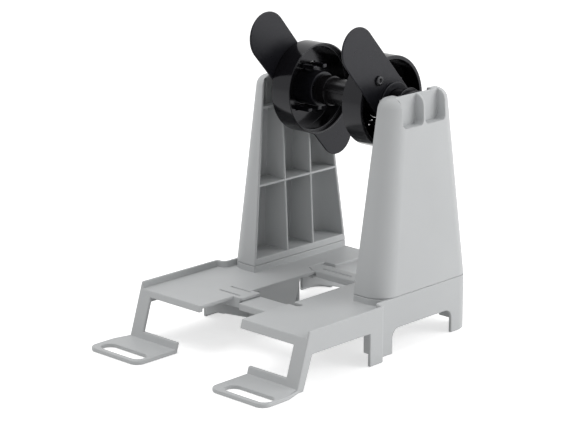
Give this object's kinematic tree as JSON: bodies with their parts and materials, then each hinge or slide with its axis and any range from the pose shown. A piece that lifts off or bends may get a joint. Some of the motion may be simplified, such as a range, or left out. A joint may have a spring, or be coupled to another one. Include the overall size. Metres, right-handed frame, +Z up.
{
  "type": "label roll holder",
  "caption": "Free-standing holder for a wide-core label roll: a hooked two-half base with front tabs, hollow towers and a drop-in spindle with sliding guide plates.",
  "frame": {"origin": "on the table, at the middle of the footprint", "axes": "+X along the spindle to the right, +Y from the front tabs to the towers, +Z up"},
  "size_m": [0.1948, 0.2647, 0.2562],
  "materials": {
    "grey_plastic": "fine matt moulded grey plastic",
    "black_plastic": "polished black plastic",
    "screw_steel": "zinc-plated screw steel",
    "screw_black": "black-finished screw heads"
  },
  "bodies": {
    "stand": {"base_left": "grey_plastic", "base_right": "grey_plastic", "tower_left": "grey_plastic", "tower_right": "grey_plastic", "tower_screws_left": "screw_steel", "tower_screws_right": "screw_steel"},
    "end_bushings": {"bushing_left": "black_plastic", "bushing_right": "black_plastic"},
    "spindle": {"shaft": "black_plastic", "hub_left": "black_plastic", "guide_plate_left": "black_plastic", "plate_screws_left": "screw_black"},
    "sliding_guide": {"hub_right": "black_plastic", "guide_plate_right": "black_plastic", "plate_screws_right": "screw_black"}
  },
  "joints": [
    {"name": "spindle_lift", "type": "slide", "parent": "stand", "child": "end_bushings", "axis": [0, 0, 1], "range_m": [0, 0.03]},
    {"name": "spindle_spin", "type": "hinge", "parent": "end_bushings", "child": "spindle", "pos_m": [0, 0.0711, 0.19], "axis": [1, 0, 0], "continuous": true},
    {"name": "guide_slide", "type": "slide", "parent": "spindle", "child": "sliding_guide", "axis": [1, 0, 0], "range_m": [-0.038, 0.011]}
  ]
}
